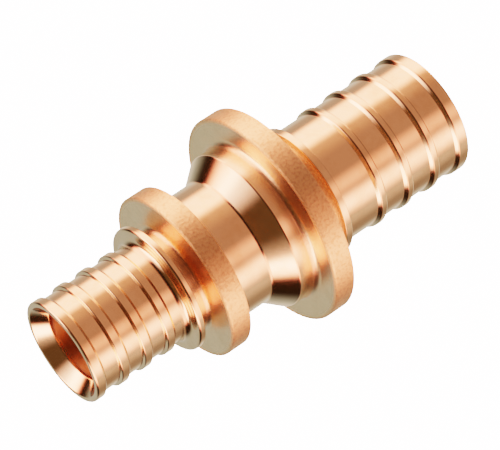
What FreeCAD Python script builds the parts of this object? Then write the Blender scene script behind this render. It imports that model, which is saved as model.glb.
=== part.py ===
import FreeCAD, Part
import os

import Sketcher
from FreeCAD import Vector

# Brass reducing coupling for two sizes of cross-linked plastic pipe, forged and turned in one piece.
# It stands on its big end: the origin is the centre of that end, +Z runs up the bore to the small end.

# Driving sizes in millimetres
SIZES = [
    ("big_root_dia", 19.65, "big spigot between its sealing ribs"),
    ("small_root_dia", 16.15, "small spigot between its sealing ribs"),
    ("rib_height", 0.5, "sealing ribs, tip lands and steps above the root of their spigot"),
    ("wall", 2.075, "wall between the bore and the root of each spigot"),
    ("big_collar_height", 1.1, "big pipe's stop collar above the root"),
    ("small_collar_height", 2.425, "small pipe's stop collar above the root"),
    ("small_groove_height", 0.325, "groove between small collar and small flange, above the root"),
    ("big_flange_dia", 35.1, "flange that the big sleeve is pressed against"),
    ("small_flange_dia", 27.4, "flange that the small sleeve is pressed against"),
    ("neck_dia", 26.4, "neck in front of the big flange"),
    ("waist_dia", 21.0, "waist between the two flanges"),
    ("big_spigot_length", 23.95, "big end to its collar"),
    ("big_collar_width", 1.25, "collar on the big side"),
    ("big_groove_width", 4.05, "big collar to big flange"),
    ("big_flange_width", 3.6, "big flange"),
    ("neck_length", 3.2, "neck"),
    ("cone_length", 3.3, "cone from the neck to the waist"),
    ("waist_length", 6.5, "waist"),
    ("small_flange_width", 3.5, "small flange"),
    ("small_groove_width", 2.55, "small flange to small collar"),
    ("small_collar_width", 1.1, "collar on the small side"),
    ("small_spigot_length", 17.4, "small collar to small end"),
    ("big_land_length", 2.4, "raised land at the tip of the big spigot"),
    ("small_land_length", 2.05, "raised land at the tip of the small spigot"),
    ("small_step_length", 0.7, "raised step in front of the small collar"),
    ("rib_flat", 0.6, "flat top of a sealing rib"),
    ("rib_round", 0.8, "radius that a rib's shoulders follow"),
    ("rib_count", 3, "full ribs on each spigot"),
    ("big_rib_start", 6.6, "big end to the middle of its first full rib"),
    ("big_rib_pitch", 5.25, "rib to rib on the big spigot"),
    ("small_rib_start", 5.3, "small end to the middle of its first full rib"),
    ("small_rib_pitch", 4.2, "rib to rib on the small spigot"),
    ("bore_cone_height", 40.0, "big end to the wide end of the cone in the bore"),
    ("bore_cone_length", 3.0, "cone in the bore between its two diameters"),
    ("mouth_depth", 2.2, "depth of the lead-in at each mouth"),
    ("rim_width", 0.95, "end face between the lead-in and the outside of each tip"),
    ("mouth_edge", 0.25, "chamfered outer edge of each tip"),
    ("flange_edge", 0.25, "chamfered edges of the flange rims"),
    ("collar_edge", 0.15, "chamfered edges of the collars"),
    ("land_edge", 0.4, "chamfered shoulders of the tip lands and the step"),
    ("neck_edge", 0.3, "chamfered edge between the cone and the neck"),
    ("waist_fillet", 0.9, "fillets at both ends of the waist"),
]

# Radii worked out from them
BIG_ROOT = "sizes.big_root_dia / 2"
BIG_CREST = f"{BIG_ROOT} + sizes.rib_height"
BIG_COLLAR = f"{BIG_ROOT} + sizes.big_collar_height"
BIG_BORE = f"{BIG_ROOT} - sizes.wall"
BIG_FLANGE = "sizes.big_flange_dia / 2"
NECK = "sizes.neck_dia / 2"
WAIST = "sizes.waist_dia / 2"
SMALL_ROOT = "sizes.small_root_dia / 2"
SMALL_CREST = f"{SMALL_ROOT} + sizes.rib_height"
SMALL_COLLAR = f"{SMALL_ROOT} + sizes.small_collar_height"
SMALL_GROOVE = f"{SMALL_ROOT} + sizes.small_groove_height"
SMALL_BORE = f"{SMALL_ROOT} - sizes.wall"
SMALL_FLANGE = "sizes.small_flange_dia / 2"

# Sections in the order they stack up from the big end
STACK = [
    "big_spigot_length", "big_collar_width", "big_groove_width", "big_flange_width", "neck_length",
    "cone_length", "waist_length", "small_flange_width", "small_groove_width", "small_collar_width",
    "small_spigot_length",
]


def top_of(section):
    """Height above the big end where a section of the stack ends, as an expression."""
    reached = STACK[:STACK.index(section) + 1]
    return " + ".join(f"sizes.{name}" for name in reached)


def value_of(expression):
    return float(sheet.evalExpression(expression))


def place_of(spot):
    """Point of a sketch, its x the radius and its y the height; None is the axis or the big end."""
    across, up = [0 if expression is None else value_of(expression) for expression in spot]
    return Vector(across, up, 0)


def straight_outline(name, corners):
    """Sketch of a closed straight-sided outline; each corner's radius and height are tied to the sheet."""
    sketch = body.newObject("Sketcher::SketchObject", name)
    sketch.AttachmentSupport = [(section_plane, "")]
    sketch.MapMode = "FlatFace"
    places = [place_of(corner) for corner in corners]
    for start, end in zip(places, places[1:] + places[:1]):
        sketch.addGeometry(Part.LineSegment(start, end))
    for edge, corner in enumerate(corners):
        following = (edge + 1) % len(corners)
        sketch.addConstraint(Sketcher.Constraint("Coincident", edge, 2, following, 1))
        for direction, axis, expression in (("DistanceX", -2, corner[0]), ("DistanceY", -1, corner[1])):
            if expression is None:
                sketch.addConstraint(Sketcher.Constraint("PointOnObject", edge, 1, axis))
                continue
            tie = Sketcher.Constraint(direction, -1, 1, edge, 1, value_of(expression))
            index = sketch.addConstraint(tie)
            sketch.setExpression(f"Constraints[{index}]", expression)
    return sketch


def turn(kind, name, sketch):
    """Revolves a sketch about the bore's axis, as added or as removed metal."""
    feature = body.newObject(f"PartDesign::{kind}", name)
    feature.Profile = sketch
    feature.ReferenceAxis = (sketch, ["V_Axis"])
    feature.Angle = 360
    doc.recompute()
    return feature


def is_ring(edge, place):
    """Tells whether an edge is the full circle round the axis through a place."""
    ring = edge.Curve
    if not isinstance(ring, Part.Circle):
        return False
    return abs(ring.Radius - place.x) < 1e-5 and abs(ring.Center.z - place.y) < 1e-5


def finish_edges(kind, name, size, spots):
    """Chamfers or fillets the ring-shaped edges through spots, each a radius and a height."""
    base = body.Tip
    edges = []
    for spot in spots:
        place = place_of(spot)
        found = [f"Edge{n}" for n, edge in enumerate(base.Shape.Edges, start=1) if is_ring(edge, place)]
        if len(found) != 1:
            raise RuntimeError(f"{name}: {len(found)} edges at radius {place.x}, height {place.y}")
        edges += found
    feature = body.newObject(f"PartDesign::{kind}", name)
    feature.Base = (base, edges)
    feature.setExpression("Size" if kind == "Chamfer" else "Radius", f"sizes.{size}")
    doc.recompute()


def sealing_ribs(side, root, crest, seat, middle, downwards):
    """Rib on one spigot, repeated along it; each shoulder follows its radius in two straight steps."""
    rise = f"({crest} - {root})"
    drop = f"sizes.rib_round * (1 - sqrt(1 - {rise} / (2 * sizes.rib_round)))"
    shoulder_run = f"sqrt(sizes.rib_round * {rise} / 2)"
    foot_run = f"sqrt(2 * sizes.rib_round * {rise} - {rise} ^ 2)"
    offsets = [(root, foot_run), (f"{crest} - {drop}", shoulder_run), (crest, "0")]
    low_side = [(across, f"{middle} - sizes.rib_flat / 2 - {run}") for across, run in offsets]
    high_side = [(across, f"{middle} + sizes.rib_flat / 2 + {run}") for across, run in reversed(offsets)]
    seats = [(seat, high_side[-1][1]), (seat, low_side[0][1])]
    sketch = straight_outline(f"{side}_rib_sketch", low_side + high_side + seats)
    rib = turn("Revolution", f"{side}_rib", sketch)

    pattern = body.newObject("PartDesign::LinearPattern", f"{side}_ribs")
    pattern.Originals = [rib]
    pattern.Direction = (sketch, ["V_Axis"])
    pattern.Reversed = downwards
    pattern.Mode = "Spacing"
    pattern.setExpression("Offset", f"sizes.{side}_rib_pitch")
    pattern.setExpression("Occurrences", "sizes.rib_count")
    body.Tip = pattern
    doc.recompute()


doc = FreeCAD.newDocument("reducing_coupling")

# Sheet of driving sizes
sheet = doc.addObject("Spreadsheet::Sheet", "sizes")
for row, (alias, value, note) in enumerate(SIZES, start=1):
    sheet.set(f"A{row}", alias.replace("_", " "))
    sheet.set(f"B{row}", str(value))
    sheet.setAlias(f"B{row}", alias)
    sheet.set(f"C{row}", note)
doc.recompute()

body = doc.addObject("PartDesign::Body", "coupling_body")
body.Label = "coupling_body"
section_plane = [feature for feature in body.Origin.OriginFeatures if feature.Role == "XZ_Plane"][0]

# Turned outside without its ribs: lands, collars, flanges, neck, cone and waist.
# The waist meets the small flange in a fillet drawn as two straight steps.
small_end = top_of("small_spigot_length")
waist_top = top_of("waist_length")
fillet_step = "sizes.waist_fillet * (1 - sqrt(0.5))"
small_step_top = f"{top_of('small_collar_width')} + sizes.small_step_length"
small_land_foot = f"{small_end} - sizes.small_land_length"
outside = straight_outline("outside_sketch", [
    (None, None),
    (BIG_CREST, None),
    (BIG_CREST, "sizes.big_land_length"),
    (BIG_ROOT, "sizes.big_land_length"),
    (BIG_ROOT, top_of("big_spigot_length")),
    (BIG_COLLAR, top_of("big_spigot_length")),
    (BIG_COLLAR, top_of("big_collar_width")),
    (BIG_ROOT, top_of("big_collar_width")),
    (BIG_ROOT, top_of("big_groove_width")),
    (BIG_FLANGE, top_of("big_groove_width")),
    (BIG_FLANGE, top_of("big_flange_width")),
    (NECK, top_of("big_flange_width")),
    (NECK, top_of("neck_length")),
    (WAIST, top_of("cone_length")),
    (WAIST, f"{waist_top} - sizes.waist_fillet"),
    (f"{WAIST} + {fillet_step}", f"{waist_top} - {fillet_step}"),
    (f"{WAIST} + sizes.waist_fillet", waist_top),
    (SMALL_FLANGE, waist_top),
    (SMALL_FLANGE, top_of("small_flange_width")),
    (SMALL_GROOVE, top_of("small_flange_width")),
    (SMALL_GROOVE, top_of("small_groove_width")),
    (SMALL_COLLAR, top_of("small_groove_width")),
    (SMALL_COLLAR, top_of("small_collar_width")),
    (SMALL_CREST, top_of("small_collar_width")),
    (SMALL_CREST, small_step_top),
    (SMALL_ROOT, small_step_top),
    (SMALL_ROOT, small_land_foot),
    (SMALL_CREST, small_land_foot),
    (SMALL_CREST, small_end),
    (None, small_end),
])
turn("Revolution", "turned_outside", outside)

# Chamfered edges of the outside, and the fillet at the foot of the cone
finish_edges("Chamfer", "mouth_edges", "mouth_edge", [
    (BIG_CREST, None),
    (SMALL_CREST, small_end),
])
finish_edges("Chamfer", "flange_rim_edges", "flange_edge", [
    (BIG_FLANGE, top_of("big_groove_width")),
    (BIG_FLANGE, top_of("big_flange_width")),
    (SMALL_FLANGE, waist_top),
    (SMALL_FLANGE, top_of("small_flange_width")),
])
finish_edges("Chamfer", "collar_edges", "collar_edge", [
    (BIG_COLLAR, top_of("big_spigot_length")),
    (BIG_COLLAR, top_of("big_collar_width")),
    (SMALL_COLLAR, top_of("small_groove_width")),
    (SMALL_COLLAR, top_of("small_collar_width")),
])
finish_edges("Chamfer", "land_and_step_edges", "land_edge", [
    (BIG_CREST, "sizes.big_land_length"),
    (SMALL_CREST, small_land_foot),
    (SMALL_CREST, small_step_top),
])
finish_edges("Chamfer", "neck_edges", "neck_edge", [
    (NECK, top_of("neck_length")),
])
finish_edges("Fillet", "cone_fillet", "waist_fillet", [
    (WAIST, top_of("cone_length")),
])

# Sealing ribs, counted from the tip of each spigot
small_rib_middle = f"{small_end} - sizes.small_rib_start"
sealing_ribs("big", BIG_ROOT, BIG_CREST, BIG_BORE, "sizes.big_rib_start", False)
sealing_ribs("small", SMALL_ROOT, SMALL_CREST, SMALL_BORE, small_rib_middle, True)

# Stepped through bore with a lead-in at each mouth
solid_volume = body.Tip.Shape.Volume
bore = straight_outline("bore_sketch", [
    (None, None),
    (f"{BIG_CREST} - sizes.rim_width", None),
    (BIG_BORE, "sizes.mouth_depth"),
    (BIG_BORE, "sizes.bore_cone_height"),
    (SMALL_BORE, "sizes.bore_cone_height + sizes.bore_cone_length"),
    (SMALL_BORE, f"{small_end} - sizes.mouth_depth"),
    (f"{SMALL_CREST} - sizes.rim_width", small_end),
    (None, small_end),
])
turn("Groove", "through_bore", bore)

# Every object recomputed cleanly, one sound solid, and the bore took metal away
for item in doc.Objects:
    if {"Invalid", "Error"} & set(item.State):
        raise RuntimeError(f"{item.Label} did not recompute: {item.State}")
    if item.isDerivedFrom("Part::Feature") and (item.Shape.isNull() or not item.Shape.isValid()):
        raise RuntimeError(f"{item.Label} has an unsound shape")
if len(body.Shape.Solids) != 1:
    raise RuntimeError("the coupling is not one solid")
if body.Shape.Volume > 0.9 * solid_volume:
    raise RuntimeError("the bore took no metal away")
box = body.Shape.optimalBoundingBox()
print(f"coupling_body: {box.XLength:.2f} x {box.YLength:.2f} x {box.ZLength:.2f} mm, {body.Shape.Volume:.0f} mm3")

os.makedirs("parts", exist_ok=True)
body.Shape.exportStep("parts/coupling_body.step")
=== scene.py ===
"""Studio picture of a brass reducing coupling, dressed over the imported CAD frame."""
from math import ceil, hypot, pi, radians, tan

import bpy
from bpy.props import FloatProperty, FloatVectorProperty, IntProperty, PointerProperty
from mathutils import Matrix, Vector


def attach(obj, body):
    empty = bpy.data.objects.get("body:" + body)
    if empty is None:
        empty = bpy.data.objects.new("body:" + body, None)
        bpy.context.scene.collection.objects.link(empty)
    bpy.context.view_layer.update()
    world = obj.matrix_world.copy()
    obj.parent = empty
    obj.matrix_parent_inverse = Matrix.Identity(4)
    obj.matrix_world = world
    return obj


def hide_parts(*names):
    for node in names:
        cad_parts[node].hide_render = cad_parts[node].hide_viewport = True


bl_info = {
    "name": "Brass reducing coupling",
    "version": (1, 0, 0),
    "blender": (4, 5, 0),
    "location": "3D View > Sidebar > Coupling",
    "description": "Turns a brass reducing coupling and sets up its studio",
    "category": "Object",
}

MM = 0.001
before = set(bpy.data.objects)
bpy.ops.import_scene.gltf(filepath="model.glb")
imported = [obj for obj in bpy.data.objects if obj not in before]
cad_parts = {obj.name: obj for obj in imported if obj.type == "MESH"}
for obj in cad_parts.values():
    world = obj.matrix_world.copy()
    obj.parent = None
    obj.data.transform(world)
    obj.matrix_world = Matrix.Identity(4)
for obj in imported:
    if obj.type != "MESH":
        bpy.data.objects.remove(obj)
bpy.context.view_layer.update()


def linear(hex_colour):
    """Linear red, green and blue of an sRGB hex colour."""
    channels = [int(hex_colour[i:i + 2], 16) / 255 for i in (1, 3, 5)]
    return tuple(c / 12.92 if c <= 0.04045 else ((c + 0.055) / 1.055) ** 2.4 for c in channels)


def length(name, description, millimetres):
    """Length property, with its default in millimetres."""
    return FloatProperty(name=name, description=description, default=millimetres * MM, min=0.0,
                         precision=5, subtype="DISTANCE", unit="LENGTH")


def angle(name, description, degrees):
    """Angle property, with its default in degrees."""
    return FloatProperty(name=name, description=description, default=radians(degrees),
                         subtype="ANGLE", unit="ROTATION")


def colour(name, description, hex_colour):
    """Colour property, with its default as an sRGB hex colour."""
    return FloatVectorProperty(name=name, description=description, default=linear(hex_colour),
                               size=3, min=0.0, max=1.0, subtype="COLOR")


def fraction(name, description, default):
    """Property between 0 and 1."""
    return FloatProperty(name=name, description=description, default=default, min=0.0, max=1.0,
                         subtype="FACTOR")


class CouplingSizes(bpy.types.PropertyGroup):
    """Diameters, heights and lengths of the turned outline."""
    big_root_dia: length("Big root", "Big spigot between its ribs", 19.65)
    small_root_dia: length("Small root", "Small spigot between its ribs", 16.15)
    rib_height: length("Rib height", "Ribs and tip lands above the root", 0.5)
    wall: length("Wall", "Wall between the bore and the root", 2.075)
    big_collar_height: length("Big collar", "Big pipe's stop collar above the root", 1.1)
    small_collar_height: length("Small collar", "Small pipe's stop collar above the root", 2.425)
    small_groove_height: length("Small groove", "Groove behind the small collar, above the root",
                                0.325)
    big_flange_dia: length("Big flange", "Flange of the big side", 35.1)
    small_flange_dia: length("Small flange", "Flange of the small side", 27.4)
    neck_dia: length("Neck", "Neck in front of the big flange", 26.4)
    waist_dia: length("Waist", "Waist between the flanges", 21.0)
    big_spigot_length: length("Big spigot length", "Big end to its collar", 23.95)
    big_collar_width: length("Big collar width", "Collar of the big side", 1.25)
    big_groove_width: length("Big groove width", "Big collar to big flange", 4.05)
    big_flange_width: length("Big flange width", "Flange of the big side", 3.6)
    neck_length: length("Neck length", "Neck", 3.2)
    cone_length: length("Cone length", "Cone from the neck to the waist", 3.3)
    waist_length: length("Waist length", "Waist", 6.5)
    small_flange_width: length("Small flange width", "Flange of the small side", 3.5)
    small_groove_width: length("Small groove width", "Small flange to small collar", 2.55)
    small_collar_width: length("Small collar width", "Collar of the small side", 1.1)
    small_spigot_length: length("Small spigot length", "Small collar to small end", 17.4)
    big_land_length: length("Big land", "Raised land at the tip of the big spigot", 2.4)
    small_land_length: length("Small land", "Raised land at the tip of the small spigot", 2.05)
    big_rib_flat: length("Big rib flat", "Flat top of a big rib", 0.6)
    small_rib_flat: length("Small rib flat", "Flat top of a small rib", 1.06)
    rib_tip_slope: angle("Rib slope to the tip", "Slope of a rib's side that faces its tip", 70.0)
    rib_collar_slope: angle("Rib slope to the collar",
                            "Slope of a rib's side that faces its collar", 48.0)
    rib_count: IntProperty(name="Ribs", description="Full ribs on each spigot", default=3, min=1)
    big_rib_start: length("First big rib", "Big end to the middle of its first rib", 6.6)
    big_rib_pitch: length("Big rib pitch", "Rib to rib on the big spigot", 5.25)
    small_rib_start: length("First small rib", "Small end to the middle of its first rib", 5.3)
    small_rib_pitch: length("Small rib pitch", "Rib to rib on the small spigot", 4.2)
    bore_cone_height: length("Bore cone height", "Big end to the wide end of the bore's cone", 40.0)
    bore_cone_length: length("Bore cone length", "Cone between the two bores", 3.0)
    mouth_depth: length("Mouth depth", "Depth of the lead-in at each mouth", 2.2)
    rim_width: length("Rim width", "End face beside each lead-in", 0.8)
    skin_width: length("Skin width", "Forged skin on a flange's side, in from its rim", 0.8)
    dull_start: length("Dull start", "Lead-in to the dull part of its bore", 0.8)
    segments: IntProperty(name="Segments", description="Facets round the axis", default=160, min=24)


class CouplingEdges(bpy.types.PropertyGroup):
    """Radii of the turned outline's edges and fillets."""
    end_edge: length("End edge", "Both edges of an end face", 0.35)
    rib_foot: length("Rib foot", "Foot of a rib or of a tip land", 0.06)
    big_rib_shoulder: length("Big rib shoulder", "Shoulders of the big ribs and their land", 0.4)
    small_rib_shoulder: length("Small rib shoulder", "Shoulders of the small ribs and their land",
                               0.2)
    big_collar_foot: length("Big collar foot", "Fillet between the big ribs and their collar", 0.35)
    collar_edge: length("Collar edge", "Sharper edges of the collars", 0.15)
    big_groove_low: length("Big groove, collar side",
                           "Fillet between the big collar and groove", 0.7)
    big_groove_high: length("Big groove, flange side",
                            "Fillet between the big groove and flange", 0.4)
    rim_edge: length("Rim edge", "Edges of the flange rims", 0.3)
    small_rim_edge: length("Small rim edge", "Small flange's edge towards the small end", 0.25)
    neck_foot: length("Neck foot", "Fillet between the big flange and the neck", 1.0)
    neck_edge: length("Neck edge", "Edge between the neck and the cone", 0.4)
    cone_foot: length("Cone foot", "Fillet between the cone and the waist", 0.7)
    waist_foot: length("Waist foot", "Fillet between the waist and the small flange", 0.9)
    small_groove_low: length("Small groove, flange side",
                             "Fillet between the small flange and groove", 0.8)
    small_groove_high: length("Small groove, collar side",
                              "Fillet between the small groove and collar", 0.3)
    small_collar_edge: length("Small collar edge", "Small collar's edge towards its ribs", 0.4)
    small_collar_foot: length("Small collar foot", "Fillet between the small collar and its ribs",
                              1.1)
    lead_in_edge: length("Lead-in edge", "Edge between a lead-in and its bore", 0.3)
    bore_cone_edge: length("Bore cone edge", "Both ends of the cone between the bores", 0.5)


class CouplingFinish(bpy.types.PropertyGroup):
    """Colour and surface of the brass."""
    brass: colour("Brass", "Turned brass", "#F1CBA6")
    forged_brass: colour("Forged brass", "Skin that the forge leaves on the flange rims", "#F8D2A5")
    patina: colour("Patina", "Faint stains and the darker grains of the skin", "#D8AD82")
    turned_roughness: fraction("Turned roughness", "Roughness of the turned faces", 0.15)
    forged_roughness: fraction("Forged roughness", "Roughness of the flange rims", 0.56)
    bored_brass: colour("Bored brass", "Dull brass inside the bore", "#C48D5E")
    bored_roughness: fraction("Bored roughness", "Roughness inside the bore", 0.46)
    line_spacing: length("Line spacing", "Turning line to turning line", 0.35)
    line_height: length("Line height", "Height of the turning lines", 0.0018)
    grain_size: length("Grain size", "Grain of the forged skin", 0.45)
    grain_height: length("Grain height", "Height of the forged skin's grain", 0.05)
    stain_size: length("Stain size", "Faint stain on the brass", 4.0)


class StudioSettings(bpy.types.PropertyGroup):
    """Camera and floor."""
    floor: colour("Floor", "Pale floor", "#FAFAF8")
    camera_distance: length("Camera distance", "Camera to the point it looks at", 424.5)
    camera_elevation: angle("Camera elevation", "Camera above the horizon", 22.02)
    camera_roll: angle("Camera roll", "Turn of the camera about its line of sight", -123.64)
    aim_height: length("Aim height", "Height of the point looked at", 34.68)
    aim_side: length("Aim side", "How far beside the bore's axis the camera looks", 0.343)
    lens: FloatProperty(name="Lens", description="Focal length in millimetres", default=203.76,
                        min=1.0)
    floor_reach: length("Floor reach", "Middle of the floor to each of its sides", 2000.0)
    floor_gap: length("Floor gap", "Gap under the coupling, so that no faces coincide", 0.02)


# Finish of a stretch of the outline, as its shares of forged and of bored surface
TURNED = (0.0, 0.0)
FORGED = (1.0, 0.0)
BORED = (0.0, 1.0)
# A flange's side towards the small end is turned too, but a little rougher
FACED = (0.3, 0.0)

# Largest turn of one facet of an arc, and the most of a straight side that an arc takes up
ARC_STEP = radians(15)
ARC_ROOM = 0.45
# An extra point this far beside each arc, in millimetres, keeps the straight side's shading flat
ARC_GUARD = 0.05


def in_millimetres(group):
    """The lengths of a group of properties, by name."""
    kinds = group.bl_rna.properties
    return {name: getattr(group, name) / MM for name in group.__annotations__
            if kinds[name].unit == "LENGTH"}


def outline_corners(sizes, edges):
    """Corners of the section as radius, height, rounding and finish, in millimetres."""
    mm = in_millimetres(sizes)
    edge = in_millimetres(edges)
    big_root = mm["big_root_dia"] / 2
    small_root = mm["small_root_dia"] / 2
    big_crest = big_root + mm["rib_height"]
    small_crest = small_root + mm["rib_height"]
    big_collar = big_root + mm["big_collar_height"]
    small_collar = small_root + mm["small_collar_height"]
    small_groove = small_root + mm["small_groove_height"]
    big_bore = big_root - mm["wall"]
    small_bore = small_root - mm["wall"]
    big_flange = mm["big_flange_dia"] / 2
    small_flange = mm["small_flange_dia"] / 2
    neck = mm["neck_dia"] / 2
    waist = mm["waist_dia"] / 2

    collar_low = mm["big_spigot_length"]
    collar_high = collar_low + mm["big_collar_width"]
    flange_low = collar_high + mm["big_groove_width"]
    flange_high = flange_low + mm["big_flange_width"]
    neck_high = flange_high + mm["neck_length"]
    cone_high = neck_high + mm["cone_length"]
    waist_high = cone_high + mm["waist_length"]
    small_flange_high = waist_high + mm["small_flange_width"]
    small_groove_high = small_flange_high + mm["small_groove_width"]
    small_collar_high = small_groove_high + mm["small_collar_width"]
    small_end = small_collar_high + mm["small_spigot_length"]
    land_low = small_end - mm["small_land_length"]

    rise = mm["rib_height"]
    land_run = rise / tan(sizes.rib_collar_slope)
    big_skin = big_flange - mm["skin_width"]
    small_skin = small_flange - mm["skin_width"]
    big_lead_in = mm["mouth_depth"]
    small_lead_in = small_end - mm["mouth_depth"]
    cone_end = mm["bore_cone_height"] + mm["bore_cone_length"]

    def rib(middle, crest, flat, shoulder_round, low_slope, high_slope):
        """Corners of a rib with sloping sides and rounded shoulders."""
        corners = []
        for side, slope in ((-1, low_slope), (1, high_slope)):
            shoulder = flat / 2 + shoulder_round * tan(slope / 2)
            foot = shoulder + rise / tan(slope)
            corners.append([(crest - rise, middle + side * foot, edge["rib_foot"], TURNED),
                            (crest, middle + side * shoulder, shoulder_round, TURNED)])
        return corners[0] + corners[1][::-1]

    big_ribs = []
    small_ribs = []
    for index in range(sizes.rib_count):
        middle = mm["big_rib_start"] + index * mm["big_rib_pitch"]
        big_ribs += rib(middle, big_crest, mm["big_rib_flat"], edge["big_rib_shoulder"],
                        sizes.rib_tip_slope, sizes.rib_collar_slope)
        back = sizes.rib_count - 1 - index
        middle = small_end - mm["small_rib_start"] - back * mm["small_rib_pitch"]
        small_ribs += rib(middle, small_crest, mm["small_rib_flat"], edge["small_rib_shoulder"],
                          sizes.rib_collar_slope, sizes.rib_tip_slope)

    return [
        (big_crest - mm["rim_width"], 0.0, edge["end_edge"], TURNED),
        (big_crest, 0.0, edge["end_edge"], TURNED),
        (big_crest, mm["big_land_length"] - land_run, edge["big_rib_shoulder"], TURNED),
        (big_root, mm["big_land_length"], edge["rib_foot"], TURNED),
        *big_ribs,
        (big_root, collar_low, edge["big_collar_foot"], TURNED),
        (big_collar, collar_low, edge["collar_edge"], TURNED),
        (big_collar, collar_high, edge["collar_edge"], TURNED),
        (big_root, collar_high, edge["big_groove_low"], FORGED),
        (big_root, flange_low, edge["big_groove_high"], FORGED),
        (big_skin, flange_low, 0.0, TURNED),
        (big_flange, flange_low, edge["rim_edge"], FORGED),
        (big_flange, flange_high, edge["rim_edge"], FORGED),
        (big_skin, flange_high, 0.0, FACED),
        (neck, flange_high, edge["neck_foot"], FACED),
        (neck, neck_high, edge["neck_edge"], TURNED),
        (waist, cone_high, edge["cone_foot"], TURNED),
        (waist, waist_high, edge["waist_foot"], TURNED),
        (small_skin, waist_high, 0.0, TURNED),
        (small_flange, waist_high, edge["rim_edge"], FORGED),
        (small_flange, small_flange_high, edge["small_rim_edge"], FORGED),
        (small_skin, small_flange_high, 0.0, FACED),
        (small_groove, small_flange_high, edge["small_groove_low"], FACED),
        (small_groove, small_groove_high, edge["small_groove_high"], TURNED),
        (small_collar, small_groove_high, edge["collar_edge"], TURNED),
        (small_collar, small_collar_high, edge["small_collar_edge"], TURNED),
        (small_root, small_collar_high, edge["small_collar_foot"], TURNED),
        *small_ribs,
        (small_root, land_low, edge["rib_foot"], TURNED),
        (small_crest, land_low + land_run, edge["small_rib_shoulder"], TURNED),
        (small_crest, small_end, edge["end_edge"], TURNED),
        (small_crest - mm["rim_width"], small_end, edge["end_edge"], TURNED),
        (small_bore, small_lead_in, edge["lead_in_edge"], TURNED),
        (small_bore, small_lead_in - mm["dull_start"], 0.0, BORED),
        (small_bore, cone_end, edge["bore_cone_edge"], BORED),
        (big_bore, mm["bore_cone_height"], edge["bore_cone_edge"], BORED),
        (big_bore, big_lead_in + mm["dull_start"], 0.0, BORED),
        (big_bore, big_lead_in, edge["lead_in_edge"], TURNED),
    ]


def rounded_outline(corners):
    """Points of the closed outline with every corner drawn as an arc, each with its finish."""
    points = []
    for index, (radius, height, rounding, finish) in enumerate(corners):
        here = Vector((radius, height))
        if not rounding:
            points.append((here, finish))
            continue
        before = Vector(corners[index - 1][:2]) - here
        after = Vector(corners[(index + 1) % len(corners)][:2]) - here
        room = ARC_ROOM * min(before.length, after.length)
        before.normalize()
        after.normalize()
        turning = pi - before.angle(after)
        reach = min(rounding * tan(turning / 2), room)
        true_radius = reach / tan(turning / 2)
        centre = here + (before + after).normalized() * hypot(reach, true_radius)
        steps = max(2, ceil(turning / ARC_STEP))
        start = here + before * reach - centre
        end = here + after * reach - centre
        sweep = turning if start.cross(end) > 0 else -turning
        points.append((here + before * (reach + ARC_GUARD), finish))
        for step in range(steps + 1):
            spoke = Matrix.Rotation(sweep * step / steps, 2) @ start
            points.append((centre + spoke, finish))
        points.append((here + after * (reach + ARC_GUARD), finish))
    return points


def section_mesh(points, spine):
    """Closed loop of edges about the sweep's circle, with its finish and the way along it."""
    section = bpy.data.meshes.new("section")
    # The sweep lays the section's X outwards and its Y downwards
    section.from_pydata(
        [(point.x * MM - spine, -point.y * MM, 0.0) for point, _ in points],
        [(index, (index + 1) % len(points)) for index in range(len(points))], [])
    reached = [0.0]
    for (start, _), (end, _) in zip(points, points[1:]):
        reached.append(reached[-1] + (end - start).length)
    section.attributes.new("along", "FLOAT", "POINT").data.foreach_set("value", reached)
    for share, name in enumerate(("forged", "bored")):
        values = [finish[share] for _, finish in points]
        section.attributes.new(name, "FLOAT", "POINT").data.foreach_set("value", values)
    return section


def add_node(tree, kind, inputs=None, **settings):
    """Adds a node; an input given as another node's output is linked, any other is its value."""
    node = tree.nodes.new(kind)
    for name, value in settings.items():
        setattr(node, name, value)
    for key, value in (inputs or {}).items():
        if isinstance(value, bpy.types.NodeSocket):
            tree.links.new(value, node.inputs[key])
        else:
            node.inputs[key].default_value = value
    return node


def lathe_tree():
    """Geometry nodes that sweep a closed section round the Z axis."""
    tree = bpy.data.node_groups.new("lathe", "GeometryNodeTree")
    interface = tree.interface
    interface.new_socket("Section", in_out="INPUT", socket_type="NodeSocketGeometry")
    interface.new_socket("Segments", in_out="INPUT", socket_type="NodeSocketInt")
    interface.new_socket("Spine Radius", in_out="INPUT", socket_type="NodeSocketFloat")
    interface.new_socket("Material", in_out="INPUT", socket_type="NodeSocketMaterial")
    interface.new_socket("Turned Body", in_out="OUTPUT", socket_type="NodeSocketGeometry")
    given = add_node(tree, "NodeGroupInput").outputs
    section = add_node(tree, "GeometryNodeMeshToCurve", {"Mesh": given["Section"]})
    spine = add_node(tree, "GeometryNodeCurvePrimitiveCircle",
                     {"Resolution": given["Segments"], "Radius": given["Spine Radius"]},
                     mode="RADIUS")
    swept = add_node(tree, "GeometryNodeCurveToMesh",
                     {"Curve": spine.outputs["Curve"], "Profile Curve": section.outputs["Curve"]})
    smooth = add_node(tree, "GeometryNodeSetShadeSmooth", {"Geometry": swept.outputs["Mesh"]})
    real = add_node(tree, "GeometryNodeRealizeInstances", {"Geometry": smooth.outputs["Geometry"]})
    finished = add_node(tree, "GeometryNodeSetMaterial",
                        {"Geometry": real.outputs["Geometry"], "Material": given["Material"]})
    add_node(tree, "NodeGroupOutput", {"Turned Body": finished.outputs["Geometry"]})
    return tree


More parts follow.
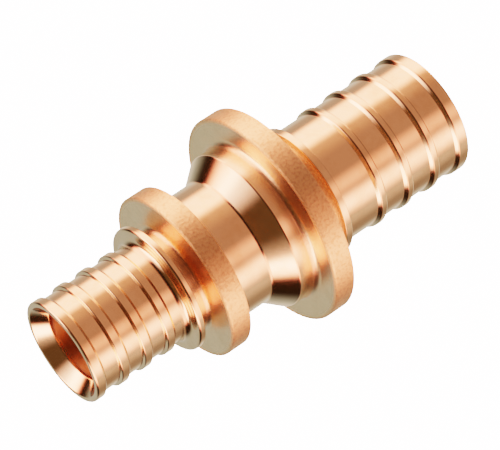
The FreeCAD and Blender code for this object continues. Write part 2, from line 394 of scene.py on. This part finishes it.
def turned_brass(finish):
    """Bare brass, forged hot, then turned and bored."""
    # The eye gets a warm golden mirror that the turning lines blur along the axis,
    # flange rims as matt and sandy as the forge left them, and a duller, browner bore.
    material = bpy.data.materials.new("turned_brass")
    material.use_nodes = True
    tree = material.node_tree
    tree.nodes.clear()
    along = add_node(tree, "ShaderNodeAttribute", attribute_name="along").outputs["Fac"]
    forged = add_node(tree, "ShaderNodeAttribute", attribute_name="forged").outputs["Fac"]
    bored = add_node(tree, "ShaderNodeAttribute", attribute_name="bored").outputs["Fac"]
    place = add_node(tree, "ShaderNodeTexCoord").outputs["Object"]

    # A lathe leaves lines about 0.1 mm apart, too fine to show, so they are drawn coarser
    lines = add_node(tree, "ShaderNodeTexNoise",
                     {"W": along, "Scale": MM / finish.line_spacing, "Detail": 3.0,
                      "Roughness": 0.6}, noise_dimensions="1D").outputs["Fac"]
    # A forged skin has grains of about 0.1 mm, too fine to show, so they are drawn coarser
    sand = add_node(tree, "ShaderNodeTexNoise",
                    {"Vector": place, "Scale": 1 / finish.grain_size, "Detail": 4.0,
                     "Roughness": 0.55}, noise_dimensions="3D").outputs["Fac"]
    turned_height = add_node(tree, "ShaderNodeMath", {0: lines, 1: finish.line_height / MM},
                             operation="MULTIPLY")
    forged_height = add_node(tree, "ShaderNodeMath", {0: sand, 1: finish.grain_height / MM},
                             operation="MULTIPLY")
    height = add_node(tree, "ShaderNodeMix",
                      {"Factor": forged, "A": turned_height.outputs["Value"],
                       "B": forged_height.outputs["Value"]}, data_type="FLOAT")
    bump = add_node(tree, "ShaderNodeBump",
                    {"Strength": 1.0, "Distance": MM, "Height": height.outputs["Result"]})

    # Faint stains where the brass has been handled, drawn at their real size
    clouds = add_node(tree, "ShaderNodeTexNoise",
                      {"Vector": place, "Scale": 1 / finish.stain_size, "Detail": 5.0,
                       "Roughness": 0.65}, noise_dimensions="3D").outputs["Fac"]
    stain = add_node(tree, "ShaderNodeMapRange",
                     {"Value": clouds, "From Min": 0.45, "From Max": 0.8, "To Min": 0.0,
                      "To Max": 0.7})
    stained = add_node(tree, "ShaderNodeMix",
                       {"Factor": stain.outputs["Result"], "A": (*finish.brass, 1.0),
                        "B": (*finish.patina, 1.0)}, data_type="RGBA")
    # Some of the forged skin's grains are darker
    grain = add_node(tree, "ShaderNodeMapRange",
                     {"Value": sand, "From Min": 0.45, "From Max": 0.65, "To Min": 0.0,
                      "To Max": 0.65})
    sandy = add_node(tree, "ShaderNodeMix",
                     {"Factor": grain.outputs["Result"], "A": (*finish.forged_brass, 1.0),
                      "B": (*finish.patina, 1.0)}, data_type="RGBA")
    outside_colour = add_node(tree, "ShaderNodeMix",
                              {"Factor": forged, "A": stained.outputs["Result"],
                               "B": sandy.outputs["Result"]}, data_type="RGBA")
    base_colour = add_node(tree, "ShaderNodeMix",
                           {"Factor": bored, "A": outside_colour.outputs["Result"],
                            "B": (*finish.bored_brass, 1.0)}, data_type="RGBA")
    outside_roughness = add_node(tree, "ShaderNodeMapRange",
                                 {"Value": forged, "To Min": finish.turned_roughness,
                                  "To Max": finish.forged_roughness})
    roughness = add_node(tree, "ShaderNodeMapRange",
                         {"Value": bored, "To Min": outside_roughness.outputs["Result"],
                          "To Max": finish.bored_roughness})
    # The lines run round the axis, and the quarter turn blurs reflections across them
    round_axis = add_node(tree, "ShaderNodeVectorMath", {0: (0.0, 0.0, 1.0), 1: place},
                          operation="CROSS_PRODUCT")
    shader = add_node(tree, "ShaderNodeBsdfPrincipled",
                      {"Base Color": base_colour.outputs["Result"], "Metallic": 1.0,
                       "Roughness": roughness.outputs["Result"], "Anisotropic": 0.8,
                       "Anisotropic Rotation": 0.25, "Normal": bump.outputs["Normal"],
                       "Tangent": round_axis.outputs["Vector"]})
    add_node(tree, "ShaderNodeOutputMaterial", {"Surface": shader.outputs["BSDF"]})
    return material


class COUPLING_OT_body(bpy.types.Operator):
    """Turns the brass body and lets it stand for the CAD solid"""
    bl_idname = "coupling.body"
    bl_label = "Coupling body"

    def execute(self, context):
        scene = context.scene
        sizes = scene.coupling_sizes
        spine = sizes.big_root_dia / 2
        corners = outline_corners(sizes, scene.coupling_edges)
        section = section_mesh(rounded_outline(corners), spine)
        body = bpy.data.objects.new("coupling", section)
        scene.collection.objects.link(body)

        tree = lathe_tree()
        modifier = body.modifiers.new("lathe", "NODES")
        modifier.node_group = tree
        given = {
            "Segments": sizes.segments,
            "Spine Radius": spine,
            "Material": turned_brass(scene.coupling_finish),
        }
        for item in tree.interface.items_tree:
            if item.in_out == "INPUT" and item.name in given:
                modifier[item.identifier] = given[item.name]

        depsgraph = context.evaluated_depsgraph_get()
        plain = bpy.data.meshes.new_from_object(body.evaluated_get(depsgraph))
        body.modifiers.clear()
        body.data = plain
        bpy.data.meshes.remove(section)
        plain.name = "coupling"
        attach(body, "root")
        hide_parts("coupling_body")
        return {"FINISHED"}


# Light that the metal mirrors, by direction. Turn is in degrees from the camera's side, clockwise as
# seen from above, and height in degrees above the horizon. Each panel has the turn it starts at and
# the turn it ends at, the softness of those two edges, the height it starts at and the height it
# ends at, its brightness and its colour. Left and right are those of the picture, whose camera is
# rolled over, and the other words on place are those of the coupling, which stands upright.
PANELS = {
    "left softbox below": (-109, -65, 10, 11, -60, -4, 7.29, "#FFA691"),
    "left softbox beside": (-112, -62, 10, 10, -4, 35, 9, "#FF9381"),
    "left softbox above": (-118, -80, 8, 11, 35, 70, 7.5, "#FFA086"),
    "glow above the left softbox": (-118, -62, 8, 35, 35, 70, 6, "#FFC8BF"),
    "right softbox below": (50, 77, 13, 14, -60, -4, 7.38, "#FFA08F"),
    "right softbox beside": (54, 100, 10, 10, -4, 35, 9, "#FF9381"),
    "right softbox above": (78, 114, 10, 8, 35, 62, 12.3, "#FFB09F"),
    "glow above the right softbox": (62, 114, 28, 8, 35, 62, 1.2, "#FFD5C6"),
    "glow beside the left softbox": (-73, -44, 7, 18, -60, -4, 1.11, "#FF9872"),
    "glow beside the right softbox": (71, 107, 10, 15, -60, -4, 0.641, "#FFD5C6"),
    "table": (-44, 40, 15, 10, -60, -4, 0.24, "#FF5127"),
    "lit side of the table": (15.5, 38.5, 11, 11, -60, -4, 2.26, "#FF9883"),
    "dim side": (-150, -108, 10, 10, -85, -4, 0.26, "#FFDDDA"),
    "floor": (-200, 200, 1, 1, -62, -4, 0.38, "#FFDABD"),
    "floor beneath": (-200, 200, 1, 1, -90, -62, 0.2, "#FFE0C8"),
    "floor behind on the left": (-200, -110, 1, 15, -80, -40, 1.2, "#FFE6D2"),
    "floor behind on the right": (110, 200, 15, 1, -80, -40, 1.2, "#FFE6D2"),
    "ceiling": (-200, 200, 1, 1, 35, 100, 0.1, "#FFCA93"),
}
# Softness of every panel's low and high edge, in degrees
HEIGHT_SOFTNESS = 6
# Brightness and colour of every direction that has no panel
GLOOM = (0.03, "#FFC080")
# Wall beyond the coupling: the turn it starts at on either side, softness, brightness and colour
BACK_WALL = (145, 14, 0.58, "#F5FFF4")


def soft_edge(tree, value, degrees, softness, rises):
    """Smooth step of a direction's angle across an edge."""
    before, after = (0.0, 1.0) if rises else (1.0, 0.0)
    return add_node(tree, "ShaderNodeMapRange",
                    {"Value": value, "From Min": radians(degrees - softness),
                     "From Max": radians(degrees + softness), "To Min": before, "To Max": after},
                    interpolation_type="SMOOTHSTEP").outputs["Result"]


def with_light(tree, total, mask, brightness, hex_colour):
    """The light so far and one more light where its mask is."""
    strength = [brightness * channel for channel in linear(hex_colour)]
    tint = add_node(tree, "ShaderNodeVectorMath", {0: strength, "Scale": mask},
                    operation="SCALE").outputs["Vector"]
    return add_node(tree, "ShaderNodeVectorMath", {0: total, 1: tint},
                    operation="ADD").outputs["Vector"]


def studio_light():
    """World of soft panels for the metal to mirror, each a range of directions."""
    world = bpy.data.worlds.new("studio")
    world.use_nodes = True
    tree = world.node_tree
    tree.nodes.clear()
    direction = add_node(tree, "ShaderNodeTexCoord").outputs["Generated"]
    parts = add_node(tree, "ShaderNodeSeparateXYZ", {"Vector": direction}).outputs
    left = add_node(tree, "ShaderNodeMath", {0: parts["X"], 1: -1.0}, operation="MULTIPLY")
    front = add_node(tree, "ShaderNodeMath", {0: parts["Y"], 1: -1.0}, operation="MULTIPLY")
    turn = add_node(tree, "ShaderNodeMath", {0: left.outputs["Value"], 1: front.outputs["Value"]},
                    operation="ARCTAN2").outputs["Value"]
    height = add_node(tree, "ShaderNodeMath", {0: parts["Z"]}, operation="ARCSINE").outputs["Value"]
    turn_either_way = add_node(tree, "ShaderNodeMath", {0: turn},
                               operation="ABSOLUTE").outputs["Value"]

    gloom_brightness, gloom_colour = GLOOM
    total = [gloom_brightness * channel for channel in linear(gloom_colour)]
    for start, end, start_soft, end_soft, low, high, brightness, tint in PANELS.values():
        mask = soft_edge(tree, turn, start, start_soft, True)
        for value, degrees, softness, rises in ((turn, end, end_soft, False),
                                                (height, low, HEIGHT_SOFTNESS, True),
                                                (height, high, HEIGHT_SOFTNESS, False)):
            side = soft_edge(tree, value, degrees, softness, rises)
            mask = add_node(tree, "ShaderNodeMath", {0: mask, 1: side},
                            operation="MULTIPLY").outputs["Value"]
        total = with_light(tree, total, mask, brightness, tint)
    wall_turn, wall_soft, wall_brightness, wall_tint = BACK_WALL
    wall = soft_edge(tree, turn_either_way, wall_turn, wall_soft, True)
    total = with_light(tree, total, wall, wall_brightness, wall_tint)
    light = add_node(tree, "ShaderNodeBackground", {"Color": total})
    add_node(tree, "ShaderNodeOutputWorld", {"Surface": light.outputs["Background"]})
    return world


def pale_floor(studio):
    """Matt white acrylic sheet, cast and lit from behind."""
    # The eye gets a blank white ground without a shadow or a horizon
    material = bpy.data.materials.new("pale_floor")
    material.use_nodes = True
    shader = material.node_tree.nodes["Principled BSDF"]
    shader.inputs["Base Color"].default_value = (*studio.floor, 1.0)
    shader.inputs["Roughness"].default_value = 0.9
    shader.inputs["Emission Color"].default_value = (1.0, 1.0, 1.0, 1.0)
    shader.inputs["Emission Strength"].default_value = 12.0
    reach = studio.floor_reach
    below = -studio.floor_gap
    mesh = bpy.data.meshes.new("floor")
    mesh.from_pydata([(-reach, -reach, below), (reach, -reach, below), (reach, reach, below),
                      (-reach, reach, below)], [], [(0, 1, 2, 3)])
    mesh.materials.append(material)
    floor = bpy.data.objects.new("floor", mesh)
    # The metal mirrors the panels instead, the floor's light among them
    floor.visible_glossy = False
    return floor


def studio_camera(studio):
    """Camera on a long lens, aimed at the coupling's middle."""
    camera = bpy.data.cameras.new("camera")
    camera.lens = studio.lens
    camera.sensor_width = 36.0
    camera.clip_start = 0.01
    view = bpy.data.objects.new("camera", camera)
    aim = Matrix.Translation((studio.aim_side, 0.0, studio.aim_height))
    tilt = Matrix.Rotation(pi / 2 - studio.camera_elevation, 4, "X")
    roll = Matrix.Rotation(studio.camera_roll, 4, "Z")
    back = Matrix.Translation((0.0, 0.0, studio.camera_distance))
    view.matrix_world = aim @ tilt @ roll @ back
    return view


class COUPLING_OT_stage(bpy.types.Operator):
    """Sets up the floor, the light and the camera"""
    bl_idname = "coupling.stage"
    bl_label = "Studio"

    def execute(self, context):
        scene = context.scene
        studio = scene.coupling_studio
        scene.view_settings.view_transform = "Filmic"
        scene.view_settings.look = "Medium High Contrast"
        scene.world = studio_light()
        floor = pale_floor(studio)
        scene.collection.objects.link(floor)
        camera = studio_camera(studio)
        scene.collection.objects.link(camera)
        scene.camera = camera
        return {"FINISHED"}


class COUPLING_PT_panel(bpy.types.Panel):
    """Lists the operators and every setting"""
    bl_label = "Reducing coupling"
    bl_idname = "COUPLING_PT_panel"
    bl_space_type = "VIEW_3D"
    bl_region_type = "UI"
    bl_category = "Coupling"

    def draw(self, context):
        layout = self.layout
        layout.operator("coupling.body")
        layout.operator("coupling.stage")
        for group_name in GROUPS:
            group = getattr(context.scene, group_name)
            column = layout.column()
            for name in group.__annotations__:
                column.prop(group, name)


GROUPS = {
    "coupling_sizes": CouplingSizes,
    "coupling_edges": CouplingEdges,
    "coupling_finish": CouplingFinish,
    "coupling_studio": StudioSettings,
}
CLASSES = (*GROUPS.values(), COUPLING_OT_body, COUPLING_OT_stage, COUPLING_PT_panel)


def register():
    for cls in CLASSES:
        bpy.utils.register_class(cls)
    for name, group in GROUPS.items():
        setattr(bpy.types.Scene, name, PointerProperty(type=group))


def unregister():
    for name in GROUPS:
        delattr(bpy.types.Scene, name)
    for cls in reversed(CLASSES):
        bpy.utils.unregister_class(cls)


def main():
    register()
    bpy.ops.coupling.body()
    bpy.ops.coupling.stage()


if __name__ == "__main__":
    main()
